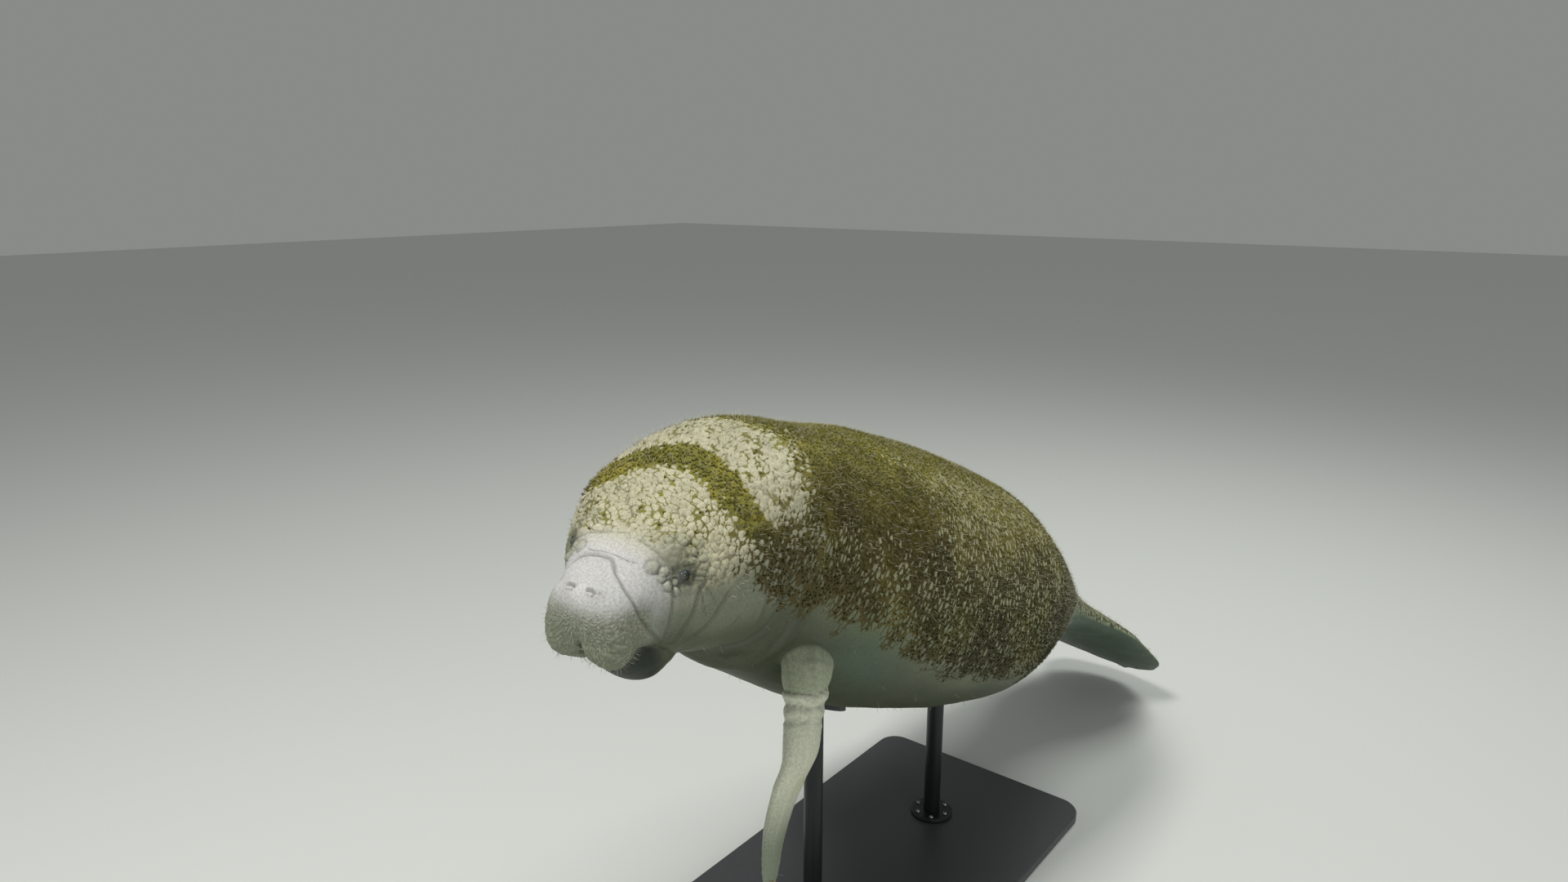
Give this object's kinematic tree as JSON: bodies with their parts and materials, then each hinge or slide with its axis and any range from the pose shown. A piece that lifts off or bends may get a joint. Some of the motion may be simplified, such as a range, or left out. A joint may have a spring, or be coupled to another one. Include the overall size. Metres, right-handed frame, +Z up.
{
  "type": "manatee model on a display stand",
  "caption": "Life-size still manatee, swimming with its head turned and its left flipper hanging, held over a flat base by two upright rods.",
  "frame": {"origin": "on the floor, under the middle of the whole model's outline", "axes": "+Z up, -Y the way the animal swims, +X to the animal's left"},
  "size_m": [0.7692, 2.6824, 1.4259],
  "materials": {
    "skin": "wrinkled grey-brown hide, matte and slightly damp, with pale patches and algae",
    "eye": "glossy dark eye",
    "nail": "horny yellowish nail, satin",
    "stand_board": "painted board, satin charcoal",
    "stand_metal": "satin dark powder coat"
  },
  "bodies": {
    "root": {"muzzle": "skin", "lower_jaw": "skin", "head": "skin", "neck": "skin", "trunk_front": "skin", "trunk_rear": "skin", "tail_stock": "skin", "tail_paddle": "skin", "flipper_left": "skin", "flipper_right": "skin", "eye_left": "eye", "eye_right": "eye", "nail_left_1": "nail", "nail_left_2": "nail", "nail_left_3": "nail", "nail_right_1": "nail", "nail_right_2": "nail", "nail_right_3": "nail", "stand_base": "stand_board", "stand_cup_front": "stand_metal", "stand_cup_rear": "stand_metal", "stand_rod_front": "stand_metal", "stand_rod_rear": "stand_metal"}
  },
  "joints": []
}
